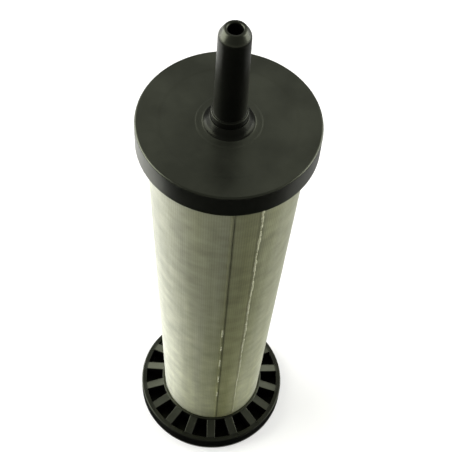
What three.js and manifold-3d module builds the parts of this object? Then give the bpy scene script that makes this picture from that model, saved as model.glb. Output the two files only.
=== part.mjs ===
// A fine-bubble air stone for a garden pond: a tapered cartridge of fine stainless mesh that
// stands on a ribbed foot, under a push-on cap that carries the tail for the air hose.
//
// Units are millimetres. The origin is the centre of the foot's underside, +Z is up, and the
// front, where the mesh's seam shows, is towards -Y. Air comes down the hose tail into the
// chamber inside the cage, and leaves through the mesh as fine bubbles.

import * as THREE from 'three';
import { mergeVertices } from 'three/addons/utils/BufferGeometryUtils.js';
import Module from 'manifold-3d';

const wasm = await Module();
wasm.setup();

// ---- Driving dimensions ----------------------------------------------------------------

const ROUND_FINE = 60;            // sides of the large round pieces that show
const ROUND_INNER = 36;           // sides of the pieces inside, and of the small ones
const RUBBER_SIDES = 8;           // sides of a rubber ring's section
const SEAT_GAP = 0.05;            // left between two pieces that rest on each other
const SLIP_GAP = 0.15;            // left between two pieces that slide into each other

const FOOT_RADIUS = 28.4;
const FOOT_HEIGHT = 6.5;
const FOOT_RIM = 1.95;            // width of the foot's outer rim
const COLLAR_TOP = 8.8;           // top of the foot's socket wall
const COLLAR_WALL = 0.95;
const SOCKET_RADIUS = 19.0;
const SOCKET_FLOOR = 4.6;
const POCKET_FLOOR = 1.5;
const WEB_COUNT = 18;
const WEB_WIDTH = 3.4;
const WEB_TURN = 3;               // degrees from the front to the first web
const WEB_ROOT = 8.3;             // the webs slope down from here to the rim

const SKIRT_BOTTOM = 163.2;       // lower edge of the cap's skirt
const CAP_TOP = 171.9;
const CAP_RADIUS = 27.25;
const CAP_PLATE = 2.5;
const SKIRT_WALL = 1.9;
const CAP_CHAMFER = 0.6;

const SLEEVE_RADIUS = 24.0;       // outside of the mesh at the skirt's lower edge
const SLEEVE_TAPER = 0.0334;      // radius lost for each millimetre lower down
const SLEEVE_TOP = 168.0;
const MESH_WALL = 0.4;
const BACKING_WALL = 0.5;

const CAGE_WALL = 2.0;
const CAGE_TOP = 168.0;
const CAGE_FLOOR = 3.0;           // thickness of the cage's closed end
const PLUG_BORE = 21.0;           // radius of the cage's mouth, where the cap plugs in
const PLUG_BORE_BOTTOM = 157.5;
const WINDOW_COLUMNS = 6;
const WINDOW_ROWS = 5;
const WINDOW_START = 16;
const WINDOW_PITCH = 28;
const WINDOW_HEIGHT = 22;
const WINDOW_SHARE = 0.68;        // part of the wall's round that is open in each row

const SEAM_FROM = 8;              // degrees from the front to the seam strip's first edge
const SEAM_TO = 30;
const SEAM_BOTTOM = 9.0;
const SEAM_TOP = 164.1;
const SEAM_THICKNESS = 0.4;

const BAND_BOTTOM = 164.4;
const BAND_TOP = 167.8;
const BAND_WALL = 0.6;

const CAP_GASKET_THICKNESS = 1.3; // the flat ring between the mesh's end and the cap
const CAP_GASKET_WIDTH = 3.7;

const PLUG_RADIUS = 20.5;         // outside of the cap's plug, which enters the cage's mouth
const PLUG_WALL = 2.1;
const PLUG_BOTTOM = 160.0;
const GROOVE_BOTTOM = 162.4;
const GROOVE_TOP = 164.8;
const GROOVE_DEPTH = 0.9;

const HUB_HEIGHT = 2.75;          // the boss on the cap, under the hose tail's collar
const HUB_FOOT_RADIUS = 7.4;
const HUB_RADIUS = 5.7;
const COUNTERBORE_RADIUS = 5.2;
const COUNTERBORE_DEPTH = 1.1;

const TAIL_TIP = 209.6;
const TAIL_COLLAR_RADIUS = 5.5;
const TAIL_COLLAR_HEIGHT = 2.35;
const TAIL_COLLAR_CHAMFER = 0.5;
const TAIL_ROOT_RADIUS = 4.88;    // the stem narrows to its end, so a 9.5 mm hose grips at the root
const TAIL_END_RADIUS = 4.55;
const TAIL_CHAMFER_FOOT = 207.2;
const TAIL_TIP_RADIUS = 3.1;
const TAIL_BORE = 2.1;
const SHANK_RADIUS = 4.0;
const SHANK_BOTTOM = 161.6;

const NUT_HEIGHT = 4.0;
const NUT_CORNER_RADIUS = 7.5;
const NUT_WASHER_THICKNESS = 0.9;
const NUT_WASHER_RADIUS = 8.2;

const SCREW_RADIUS = 2.0;
const SCREW_TIP = 24;
const SCREW_HEAD_RADIUS = 4.0;
const SCREW_HEAD_BOTTOM = 0.2;
const SCREW_RECESS_RADIUS = 5.6;
const SCREW_RECESS_DEPTH = 2.6;
const SCREW_WASHER_THICKNESS = 0.5;
const SCREW_WASHER_RADIUS = 5.2;
const SCREW_HOLE = 2.3;
const DRIVE_SLOT = 1.0;           // width of the cross cut into the screw's head
const DRIVE_SPAN = 4.4;
const DRIVE_DEPTH = 1.2;

const GASKET_THICKNESS = 1.5;
const GASKET_RADIUS = 18.6;
const BALLAST_GASKET_THICKNESS = 1.2;
const BALLAST_GASKET_RADIUS = 8;
const BALLAST_RADIUS = 14.8;
const BALLAST_HEIGHT = 32;
const BALLAST_CHAMFER = 1.0;

// ---- Finishes --------------------------------------------------------------------------

const SATIN_BLACK_PLASTIC = { color: '#32342e', roughness: 0.35, metalness: 0 };
const DARK_GREY_PLASTIC = { color: '#4a4c49', roughness: 0.6, metalness: 0 };
const WOVEN_STEEL = { color: '#b4b5a6', roughness: 0.45, metalness: 0.8 };
const BRIGHT_STEEL = { color: '#c4c5c2', roughness: 0.3, metalness: 1 };
const BLACK_RUBBER = { color: '#1d1d1c', roughness: 0.85, metalness: 0 };

// ---- Shared shapes ---------------------------------------------------------------------

const sleeveRadius = (height) => SLEEVE_RADIUS - (SKIRT_BOTTOM - height) * SLEEVE_TAPER;
const backingRadius = (height) => sleeveRadius(height) - MESH_WALL - SLIP_GAP;
const cageRadius = (height) => backingRadius(height) - BACKING_WALL - SLIP_GAP;
const degrees = THREE.MathUtils.degToRad;

// Joins the vertices that lie on each other and drops the triangles this flattens to a line.
function weld(geometry) {
  geometry.deleteAttribute('normal');
  geometry.deleteAttribute('uv');
  const merged = mergeVertices(geometry, 0.0001);
  const corners = merged.index.array;
  const kept = [];
  for (let i = 0; i < corners.length; i += 3) {
    const triangle = [corners[i], corners[i + 1], corners[i + 2]];
    if (new Set(triangle).size === 3) {
      kept.push(...triangle);
    }
  }
  merged.setIndex(kept);
  return merged;
}

// Spins a closed outline of [radius, height] corners, listed anticlockwise, about the Z axis.
function revolve(outline, sides) {
  const loop = [...outline, outline[0]].map(([radius, height]) => new THREE.Vector2(radius, height));
  const geometry = new THREE.LatheGeometry(loop, sides);
  geometry.rotateX(Math.PI / 2);
  return weld(geometry);
}

// A plain ring with square edges.
function ring(innerRadius, outerRadius, bottom, top, sides) {
  const outline = [
    [innerRadius, bottom],
    [outerRadius, bottom],
    [outerRadius, top],
    [innerRadius, top],
  ];
  return revolve(outline, sides);
}

// A round rubber ring, drawn slightly flattened, as it is when it is squeezed in its seat.
function rubberRing(innerRadius, outerRadius, bottom, top) {
  const outline = [];
  const centre = [(innerRadius + outerRadius) / 2, (bottom + top) / 2];
  for (let i = 0; i < RUBBER_SIDES; i += 1) {
    const angle = (i / RUBBER_SIDES) * 2 * Math.PI;
    const radius = centre[0] + ((outerRadius - innerRadius) / 2) * Math.cos(angle);
    const height = centre[1] + ((top - bottom) / 2) * Math.sin(angle);
    outline.push([radius, height]);
  }
  return revolve(outline, ROUND_INNER);
}

// A box that points out from the axis: its middle is turned from the front towards +X.
function radialBox(turn, distance, length, width, bottom, height) {
  const geometry = new THREE.BoxGeometry(width, length, height);
  geometry.translate(0, -distance, bottom + height / 2);
  geometry.rotateZ(degrees(turn));
  return weld(geometry);
}

function toSolid(geometry) {
  const vertProperties = new Float32Array(geometry.attributes.position.array);
  const triVerts = new Uint32Array(geometry.index.array);
  return new wasm.Manifold(new wasm.Mesh({ numProp: 3, vertProperties, triVerts }));
}

function toGeometry(solid) {
  const mesh = solid.getMesh();
  const geometry = new THREE.BufferGeometry();
  geometry.setAttribute('position', new THREE.BufferAttribute(mesh.vertProperties, 3));
  geometry.setIndex(new THREE.BufferAttribute(mesh.triVerts, 1));
  return geometry;
}

function piece(name, geometry, finish) {
  geometry.computeVertexNormals();
  const mesh = new THREE.Mesh(geometry, new THREE.MeshStandardMaterial(finish));
  mesh.name = name;
  return mesh;
}

// ---- The foot and what fastens it ------------------------------------------------------

const COLLAR_RADIUS = SOCKET_RADIUS + COLLAR_WALL;
const POCKET_RADIUS = FOOT_RADIUS - FOOT_RIM;

function footBody() {
  const outline = [
    [SCREW_HOLE, SCREW_RECESS_DEPTH],
    [SCREW_RECESS_RADIUS, SCREW_RECESS_DEPTH],
    [SCREW_RECESS_RADIUS, 0],
    [FOOT_RADIUS, 0],
    [FOOT_RADIUS, FOOT_HEIGHT],
    [POCKET_RADIUS, FOOT_HEIGHT],
    [COLLAR_RADIUS, WEB_ROOT],
    [COLLAR_RADIUS, COLLAR_TOP],
    [SOCKET_RADIUS, COLLAR_TOP],
    [SOCKET_RADIUS, SOCKET_FLOOR],
    [SCREW_HOLE, SOCKET_FLOOR],
  ];
  return toSolid(revolve(outline, ROUND_FINE));
}

// The blind pockets between the foot's webs, as one cutter.
function footPockets() {
  let pockets = toSolid(ring(COLLAR_RADIUS, POCKET_RADIUS, POCKET_FLOOR, COLLAR_TOP + 1, ROUND_FINE));
  const middle = (COLLAR_RADIUS + POCKET_RADIUS) / 2;
  const length = POCKET_RADIUS - COLLAR_RADIUS + 2;
  for (let i = 0; i < WEB_COUNT; i += 1) {
    const turn = WEB_TURN + (i * 360) / WEB_COUNT;
    const web = radialBox(turn, middle, length, WEB_WIDTH, POCKET_FLOOR - 1, COLLAR_TOP + 2);
    pockets = pockets.subtract(toSolid(web));
  }
  return pockets;
}

const GASKET_TOP = SOCKET_FLOOR + SEAT_GAP + GASKET_THICKNESS;
const CAGE_BOTTOM = GASKET_TOP + SEAT_GAP;
const BALLAST_GASKET_BOTTOM = CAGE_BOTTOM + CAGE_FLOOR + SEAT_GAP;
const BALLAST_BOTTOM = BALLAST_GASKET_BOTTOM + BALLAST_GASKET_THICKNESS + SEAT_GAP;
const BALLAST_TOP = BALLAST_BOTTOM + BALLAST_HEIGHT;
const SCREW_HEAD_TOP = SCREW_RECESS_DEPTH - SCREW_WASHER_THICKNESS - 2 * SEAT_GAP;

function footScrew() {
  const outline = [
    [0, SCREW_HEAD_BOTTOM],
    [SCREW_HEAD_RADIUS - 0.9, SCREW_HEAD_BOTTOM],
    [SCREW_HEAD_RADIUS, SCREW_HEAD_BOTTOM + 0.9],
    [SCREW_HEAD_RADIUS, SCREW_HEAD_TOP],
    [SCREW_RADIUS, SCREW_HEAD_TOP],
    [SCREW_RADIUS, SCREW_TIP - 0.6],
    [SCREW_RADIUS - 0.6, SCREW_TIP],
    [0, SCREW_TIP],
  ];
  let screw = toSolid(revolve(outline, ROUND_INNER));
  for (const turn of [45, 135]) {
    const slot = radialBox(turn, 0, DRIVE_SPAN, DRIVE_SLOT, SCREW_HEAD_BOTTOM - 1, DRIVE_DEPTH + 1);
    screw = screw.subtract(toSolid(slot));
  }
  return toGeometry(screw);
}

function ballastWeight() {
  const hole = SCREW_RADIUS + SLIP_GAP;
  const outline = [
    [hole, BALLAST_BOTTOM],
    [BALLAST_RADIUS - BALLAST_CHAMFER, BALLAST_BOTTOM],
    [BALLAST_RADIUS, BALLAST_BOTTOM + BALLAST_CHAMFER],
    [BALLAST_RADIUS, BALLAST_TOP - BALLAST_CHAMFER],
    [BALLAST_RADIUS - BALLAST_CHAMFER, BALLAST_TOP],
    [hole, BALLAST_TOP],
  ];
  return revolve(outline, ROUND_INNER);
}

function footPieces() {
  const washerBottom = SCREW_HEAD_TOP + SEAT_GAP;
  const washerTop = washerBottom + SCREW_WASHER_THICKNESS;
  const washer = ring(SCREW_HOLE, SCREW_WASHER_RADIUS, washerBottom, washerTop, ROUND_INNER);
  const gasket = ring(SCREW_HOLE, GASKET_RADIUS, SOCKET_FLOOR + SEAT_GAP, GASKET_TOP, ROUND_INNER);
  const ballastGasketTop = BALLAST_GASKET_BOTTOM + BALLAST_GASKET_THICKNESS;
  const ballastGasket = ring(
    SCREW_HOLE, BALLAST_GASKET_RADIUS, BALLAST_GASKET_BOTTOM, ballastGasketTop, ROUND_INNER);
  return [
    piece('foot', toGeometry(footBody().subtract(footPockets())), SATIN_BLACK_PLASTIC),
    piece('foot_gasket', gasket, BLACK_RUBBER),
    piece('foot_screw', footScrew(), BRIGHT_STEEL),
    piece('foot_screw_washer', washer, BRIGHT_STEEL),
    piece('ballast_gasket', ballastGasket, BLACK_RUBBER),
    piece('ballast_weight', ballastWeight(), BRIGHT_STEEL),
  ];
}

// ---- The cartridge: cage, backing mesh, fine mesh and seam ------------------------------

// A moulded cup with a plain mouth: the air chamber, before its windows are cut.
function cageBody() {
  const floorTop = CAGE_BOTTOM + CAGE_FLOOR;
  const outline = [
    [SCREW_HOLE, CAGE_BOTTOM],
    [cageRadius(CAGE_BOTTOM), CAGE_BOTTOM],
    [cageRadius(CAGE_TOP), CAGE_TOP],
    [PLUG_BORE, CAGE_TOP],
    [PLUG_BORE, PLUG_BORE_BOTTOM],
    [cageRadius(PLUG_BORE_BOTTOM) - CAGE_WALL, PLUG_BORE_BOTTOM],
    [cageRadius(floorTop) - CAGE_WALL, floorTop],
    [SCREW_HOLE, floorTop],
  ];
  return toSolid(revolve(outline, ROUND_INNER));
}

function coreCage() {
  let cage = cageBody();
  for (let row = 0; row < WINDOW_ROWS; row += 1) {
    const bottom = WINDOW_START + row * WINDOW_PITCH;
    const radius = cageRadius(bottom + WINDOW_HEIGHT / 2);
    const width = (WINDOW_SHARE * 2 * Math.PI * radius) / WINDOW_COLUMNS;
    for (let column = 0; column < WINDOW_COLUMNS; column += 1) {
      const turn = (column * 360) / WINDOW_COLUMNS;
      const window = radialBox(turn, radius, radius * 0.8, width, bottom, WINDOW_HEIGHT);
      cage = cage.subtract(toSolid(window));
    }
  }
  return toGeometry(cage);
}

// A thin tapered tube that follows the sleeve.
function taperedTube(outerRadius, wall, bottom, top) {
  const outline = [
    [outerRadius(bottom) - wall, bottom],
    [outerRadius(bottom), bottom],
    [outerRadius(top), top],
    [outerRadius(top) - wall, top],
  ];
  return revolve(outline, ROUND_FINE);
}

// The strip that covers the sleeve's joint: a curved plate, tapered with the sleeve.
function seamStrip() {
  const base = sleeveRadius(SEAM_BOTTOM);
  const from = degrees(SEAM_FROM - 90);
  const to = degrees(SEAM_TO - 90);
  const outline = new THREE.Shape();
  outline.absarc(0, 0, base + SEAT_GAP + SEAM_THICKNESS, from, to, false);
  outline.absarc(0, 0, base + SEAT_GAP, to, from, true);
  outline.closePath();
  const height = SEAM_TOP - SEAM_BOTTOM;
  const geometry = new THREE.ExtrudeGeometry(outline, { depth: height, bevelEnabled: false, curveSegments: 8 });
  geometry.translate(0, 0, SEAM_BOTTOM);
  const places = geometry.attributes.position;
  for (let i = 0; i < places.count; i += 1) {
    const growth = sleeveRadius(places.getZ(i)) / base;
    places.setX(i, places.getX(i) * growth);
    places.setY(i, places.getY(i) * growth);
  }
  return weld(geometry);
}

function cartridgePieces() {
  const meshBottom = CAGE_BOTTOM;
  const bandRadius = sleeveRadius(BAND_TOP) + SLIP_GAP;
  const sleeve = taperedTube(sleeveRadius, MESH_WALL, meshBottom, SLEEVE_TOP);
  const backing = taperedTube(backingRadius, BACKING_WALL, meshBottom, SLEEVE_TOP);
  const band = ring(bandRadius, bandRadius + BAND_WALL, BAND_BOTTOM, BAND_TOP, ROUND_FINE);
  return [
    piece('core_cage', coreCage(), DARK_GREY_PLASTIC),
    piece('backing_mesh', backing, WOVEN_STEEL),
    piece('mesh_sleeve', sleeve, WOVEN_STEEL),
    piece('seam_strip', seamStrip(), WOVEN_STEEL),
    piece('top_band', band, BRIGHT_STEEL),
  ];
}

// ---- The cap and the hose tail, which lift off together ---------------------------------

const HUB_TOP = CAP_TOP + HUB_HEIGHT;
const PLATE_UNDERSIDE = CAP_TOP - CAP_PLATE;

function topCap() {
  const hole = SHANK_RADIUS + SLIP_GAP;
  const plugInside = PLUG_RADIUS - PLUG_WALL;
  const grooveRadius = PLUG_RADIUS - GROOVE_DEPTH;
  const skirtInside = CAP_RADIUS - SKIRT_WALL;
  const outline = [
    [hole, PLATE_UNDERSIDE],
    [plugInside, PLATE_UNDERSIDE],
    [plugInside, PLUG_BOTTOM],
    [PLUG_RADIUS, PLUG_BOTTOM],
    [PLUG_RADIUS, GROOVE_BOTTOM],
    [grooveRadius, GROOVE_BOTTOM],
    [grooveRadius, GROOVE_TOP],
    [PLUG_RADIUS, GROOVE_TOP],
    [PLUG_RADIUS, PLATE_UNDERSIDE],
    [skirtInside, PLATE_UNDERSIDE],
    [skirtInside, SKIRT_BOTTOM],
    [CAP_RADIUS, SKIRT_BOTTOM],
    [CAP_RADIUS, CAP_TOP - CAP_CHAMFER],
    [CAP_RADIUS - CAP_CHAMFER, CAP_TOP],
    [HUB_FOOT_RADIUS, CAP_TOP],
    [HUB_RADIUS, HUB_TOP],
    [COUNTERBORE_RADIUS, HUB_TOP],
    [COUNTERBORE_RADIUS, HUB_TOP - COUNTERBORE_DEPTH],
    [hole, HUB_TOP - COUNTERBORE_DEPTH],
  ];
  return revolve(outline, ROUND_FINE);
}

function hoseTail() {
  const collarBottom = HUB_TOP + SEAT_GAP;
  const collarTop = collarBottom + TAIL_COLLAR_HEIGHT;
  const outline = [
    [TAIL_BORE, SHANK_BOTTOM],
    [SHANK_RADIUS, SHANK_BOTTOM],
    [SHANK_RADIUS, collarBottom],
    [TAIL_COLLAR_RADIUS, collarBottom],
    [TAIL_COLLAR_RADIUS, collarTop - TAIL_COLLAR_CHAMFER],
    [TAIL_COLLAR_RADIUS - TAIL_COLLAR_CHAMFER, collarTop],
    [TAIL_ROOT_RADIUS, collarTop],
    [TAIL_END_RADIUS, TAIL_CHAMFER_FOOT],
    [TAIL_TIP_RADIUS, TAIL_TIP],
    [TAIL_BORE, TAIL_TIP],
  ];
  return revolve(outline, ROUND_INNER);
}

function backNut(top) {
  const nut = toSolid(ring(SHANK_RADIUS + SLIP_GAP, NUT_CORNER_RADIUS, top - NUT_HEIGHT, top, 6));
  const bore = new THREE.CylinderGeometry(
    SHANK_RADIUS + SLIP_GAP, SHANK_RADIUS + SLIP_GAP, NUT_HEIGHT + 2, ROUND_INNER);
  bore.rotateX(Math.PI / 2);
  bore.translate(0, 0, top - NUT_HEIGHT / 2);
  return toGeometry(nut.subtract(toSolid(weld(bore))));
}

function capPieces() {
  const tailRing = rubberRing(
    SHANK_RADIUS + SLIP_GAP / 2, COUNTERBORE_RADIUS - SLIP_GAP / 2,
    HUB_TOP - COUNTERBORE_DEPTH + SEAT_GAP, HUB_TOP);
  const capRing = rubberRing(
    PLUG_RADIUS - GROOVE_DEPTH + SLIP_GAP, PLUG_BORE - SLIP_GAP,
    GROOVE_BOTTOM + SLIP_GAP, GROOVE_TOP - SLIP_GAP);
  const gasketTop = PLATE_UNDERSIDE - SEAT_GAP;
  const gasketInside = PLUG_RADIUS + SLIP_GAP;
  const gasket = ring(
    gasketInside, gasketInside + CAP_GASKET_WIDTH, gasketTop - CAP_GASKET_THICKNESS, gasketTop, ROUND_FINE);
  const washerTop = PLATE_UNDERSIDE - SEAT_GAP;
  const washerBottom = washerTop - NUT_WASHER_THICKNESS;
  const washer = ring(SHANK_RADIUS + SLIP_GAP, NUT_WASHER_RADIUS, washerBottom, washerTop, ROUND_INNER);
  return [
    piece('top_cap', topCap(), SATIN_BLACK_PLASTIC),
    piece('cap_gasket', gasket, BLACK_RUBBER),
    piece('cap_o_ring', capRing, BLACK_RUBBER),
    piece('hose_tail', hoseTail(), SATIN_BLACK_PLASTIC),
    piece('hose_tail_o_ring', tailRing, BLACK_RUBBER),
    piece('nut_washer', washer, BRIGHT_STEEL),
    piece('back_nut', backNut(washerBottom - SEAT_GAP), SATIN_BLACK_PLASTIC),
  ];
}

// ---- The whole air stone -----------------------------------------------------------------

const cartridge = new THREE.Group();
cartridge.add(...footPieces(), ...cartridgePieces());

const cap = new THREE.Group();
cap.add(...capPieces());

const airStone = new THREE.Group();
airStone.add(cartridge, cap);

export default airStone;
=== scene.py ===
# %% [markdown]
# # An upright air stone for a garden pond
# A pump blows air down the hose tail into the cage inside, and the air leaves through a sleeve of
# fine stainless mesh as small bubbles. A black cap plugs the top and a ribbed black foot carries
# the whole. We first load the engineering model, which fixes where every part sits, and then
# build a finer piece over each part of it.

# %% The engineering model
import math

import bmesh
import bpy
from mathutils import Matrix, Vector


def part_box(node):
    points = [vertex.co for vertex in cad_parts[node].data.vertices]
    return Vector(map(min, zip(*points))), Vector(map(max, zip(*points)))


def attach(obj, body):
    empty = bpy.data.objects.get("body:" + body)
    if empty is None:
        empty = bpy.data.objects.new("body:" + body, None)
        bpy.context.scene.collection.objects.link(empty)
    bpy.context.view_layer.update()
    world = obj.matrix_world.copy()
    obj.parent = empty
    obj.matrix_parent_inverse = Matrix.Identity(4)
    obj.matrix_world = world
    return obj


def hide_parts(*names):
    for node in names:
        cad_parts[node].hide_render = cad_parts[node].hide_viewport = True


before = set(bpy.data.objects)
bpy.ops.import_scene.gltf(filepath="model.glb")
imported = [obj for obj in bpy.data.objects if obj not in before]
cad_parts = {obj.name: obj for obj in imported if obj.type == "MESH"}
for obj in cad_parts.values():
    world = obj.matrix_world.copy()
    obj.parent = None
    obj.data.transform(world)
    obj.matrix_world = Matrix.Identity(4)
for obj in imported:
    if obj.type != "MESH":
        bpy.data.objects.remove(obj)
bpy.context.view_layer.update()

# %% [markdown]
# Blender works in metres and a bench drawing in millimetres, so every size below is in
# millimetres and `MM` turns it into metres. Heights and radii come from the boxes of the parts:
# a round part's radius is how far its box reaches along X.

# %% Lengths taken from the parts
MM = 0.001


def low(node):
    """The lowest corner of a part's box, in millimetres."""
    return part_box(node)[0] / MM


def high(node):
    """The highest corner of a part's box, in millimetres."""
    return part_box(node)[1] / MM


HUB_HEIGHT = 2.75
foot_radius, collar_top = high("foot").x, high("foot").z
cap_radius, hub_top = high("top_cap").x, high("top_cap").z
cap_face = hub_top - HUB_HEIGHT
sleeve_low, sleeve_high = low("mesh_sleeve").z, high("mesh_sleeve").z
tail_tip = high("hose_tail").z
print(f"foot radius {foot_radius:.2f}, cap radius {cap_radius:.2f}, cap face at {cap_face:.1f} mm")

# %% [markdown]
# ## Camera
# The air stone is looked down on from its front, close enough for the near end to look larger.
# A camera is placed by three turns: swing it round the upright axis, tip it down, and roll it a
# little about its own line of sight, which makes the object lean in the frame. Writing the turns
# as a product of matrices keeps each one readable.

# %% Camera
CAMERA_DISTANCE = 201.5
CAMERA_ABOVE_CAP = 246.2
CAMERA_PITCH = 56.13
CAMERA_YAW = 0.38
CAMERA_ROLL = 4.28
CAMERA_LENS = 88.05

camera_data = bpy.data.cameras.new("camera")
camera_data.lens = CAMERA_LENS
camera_data.clip_start = 10 * MM
camera = bpy.data.objects.new("camera", camera_data)
bpy.context.scene.collection.objects.link(camera)
camera.matrix_world = (
    Matrix.Translation(Vector((0, -CAMERA_DISTANCE, cap_face + CAMERA_ABOVE_CAP)) * MM)
    @ Matrix.Rotation(math.radians(-CAMERA_YAW), 4, "Z")
    @ Matrix.Rotation(math.radians(90 - CAMERA_PITCH), 4, "X")
    @ Matrix.Rotation(math.radians(CAMERA_ROLL), 4, "Z")
)
bpy.context.scene.camera = camera
print("camera at", [round(x, 3) for x in camera.matrix_world.translation])

# %% [markdown]
# ## Two helpers for materials
# A shader works with linear light and a colour picker with sRGB, so one function converts the
# hex values. A second adds a node, sets its values and makes its links, so a material below reads
# as a list of what feeds what.

# %% Material helpers


def colour(code):
    """Turns an sRGB hex value into the linear colour that a shader works with."""
    channels = [int(code[i : i + 2], 16) / 255 for i in (1, 3, 5)]
    linear = [c / 12.92 if c <= 0.04045 else ((c + 0.055) / 1.055) ** 2.4 for c in channels]
    return (*linear, 1)


def add(tree, kind, settings=(), links=()):
    """Adds a node: settings are its properties or input values, links its wired inputs."""
    made = tree.nodes.new(kind)
    for name, value in dict(settings).items():
        if isinstance(name, str) and hasattr(made, name):
            setattr(made, name, value)
        else:
            made.inputs[name].default_value = value
    for name, source in dict(links).items():
        tree.links.new(source, made.inputs[name])
    return made


def new_tree(name):
    """Makes an empty node material and gives back the material and its tree."""
    material = bpy.data.materials.new(name)
    material.use_nodes = True
    material.node_tree.nodes.clear()
    return material, material.node_tree


# %% [markdown]
# ## Black plastic
# The cap, the foot and the hose tail are injection-moulded polypropylene, filled with carbon
# black. A mould for such parts is spark-eroded, which leaves a fine satin grain, and the surface
# picks up cloudy patches and paler rubbed edges. The grain is about 0.1 mm on the real part; it is
# drawn at 0.4 mm so that it can show. The rubbed edges come from the mesh's own pointiness. Where
# a piece must look darker and free of highlights, its colour is mixed towards near-black as
# painted shade and its gloss is cut: each piece says where, in a face attribute.

# %% Black plastic
# Near-black colour that the face attribute mixes in, as painted shade.
PAINTED_SHADE = "#070706"


def moulded_plastic(name, dark, light, rubbed, sheen, roughness, grain_mm):
    """Satin moulded plastic with a cloudy tone, spark-eroded grain and rubbed edges."""
    material, tree = new_tree(name)
    place = add(tree, "ShaderNodeTexCoord").outputs["Object"]
    clouds = add(tree, "ShaderNodeTexNoise", {"Scale": 1 / (14 * MM), "Detail": 3}, {"Vector": place})
    grain = add(
        tree, "ShaderNodeTexNoise",
        {"Scale": 1 / (grain_mm * MM), "Detail": 2, "Roughness": 0.6}, {"Vector": place},
    )
    tone = add(
        tree, "ShaderNodeMix",
        {"data_type": "RGBA", 6: colour(dark), 7: colour(light)}, {0: clouds.outputs["Fac"]},
    )
    edge = add(
        tree, "ShaderNodeMapRange",
        {"From Min": 0.53, "From Max": 0.62, "To Min": 0.0, "To Max": 0.5},
        {"Value": add(tree, "ShaderNodeNewGeometry").outputs["Pointiness"]},
    )
    worn = add(
        tree, "ShaderNodeMix",
        {"data_type": "RGBA", 7: colour(rubbed)},
        {0: edge.outputs["Result"], 6: tone.outputs[2]},
    )
    gloss = add(
        tree, "ShaderNodeMapRange",
        {"To Min": roughness - 0.05, "To Max": roughness + 0.08}, {"Value": clouds.outputs["Fac"]},
    )
    bump = add(
        tree, "ShaderNodeBump",
        {"Strength": 0.25, "Distance": 0.04 * MM}, {"Height": grain.outputs["Fac"]},
    )
    # The face attribute mixes the colour towards near-black as painted shade, and below it cuts the gloss.
    shade_mask = add(tree, "ShaderNodeAttribute", {"attribute_name": "shade_and_dullness"}).outputs["Fac"]
    shaded_tone = add(
        tree, "ShaderNodeMix", {"data_type": "RGBA", 7: colour(PAINTED_SHADE)},
        {0: shade_mask, 6: worn.outputs[2]})
    patchy = add(
        tree, "ShaderNodeMapRange",
        {"From Min": 0.35, "From Max": 0.65, "To Min": 0.42, "To Max": 0.6},
        {"Value": clouds.outputs["Fac"]})
    dulled = add(
        tree, "ShaderNodeMapRange", {"To Max": 0.08}, {"Value": shade_mask, "To Min": patchy.outputs["Result"]})
    shader = add(
        tree, "ShaderNodeBsdfPrincipled", {"IOR": 1.49, "Specular Tint": colour(sheen)},
        {"Base Color": shaded_tone.outputs[2], "Roughness": gloss.outputs["Result"],
         "Specular IOR Level": dulled.outputs["Result"], "Normal": bump.outputs["Normal"]},
    )
    add(tree, "ShaderNodeOutputMaterial", {}, {"Surface": shader.outputs["BSDF"]})
    return material


black_plastic = moulded_plastic(
    "satin_black_polypropylene", "#080907", "#0f100c", "#1c1e18", "#f8ffda",
    roughness=0.3, grain_mm=0.4)
grey_plastic = moulded_plastic(
    "matt_grey_polypropylene", "#3a3c3a", "#464845", "#5c5e5a", "#ffffff",
    roughness=0.55, grain_mm=0.5)
print("made", black_plastic.name, "and", grey_plastic.name)

# %% [markdown]
# ## Fine woven mesh
# The sleeve is stainless steel wire in a plain weave. Its real wires are some 0.1 mm apart, far
# too fine to see, so the weave is drawn at about 0.7 mm. The piece carries its own UV map in which
# one unit is one wire, so a wire is a half wave of a sine, and the product of the two sines says
# which wire lies on top at a crossing. Woven wire also varies from wire to wire, which shows as
# faint streaks both ways, and handling leaves soft patches. The front, round the seam, is painted
# darker and olive as painted shade, which is one swell of a cosine round the sleeve, and the lower
# half is painted lighter as painted light from the floor, with the top a little darker under the
# cap. The side behind is painted darker as painted shade, which is the cosine's other end. Beside
# the seam run lines of painted shadow, and one painted highlight along the hem: each line is a
# turn from the front in degrees, half a width in wires, and how dark it is.

# %% Fine woven mesh
WIRES_ROUND = 192
# Where the olive painted shade peaks round the sleeve, and how narrow it is.
SHADE_BAND_SHIFT = math.radians(75)
SHADE_BAND_POWER = 3
# Heights in wires between which the painted floor light fades out.
FLOOR_LIGHT_LOW, FLOOR_LIGHT_HIGH = 20, 170
# Painted shadow lines beside the seam, and one painted highlight on the hem where the shade is above 1:
# turn in degrees, half a width in wires, shade.
SEAM_SHADE_LINES = [(7.2, 1.0, 1.15), (8.8, 1.4, 0.74), (27.3, 0.9, 0.8), (30.6, 0.9, 0.84)]


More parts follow.
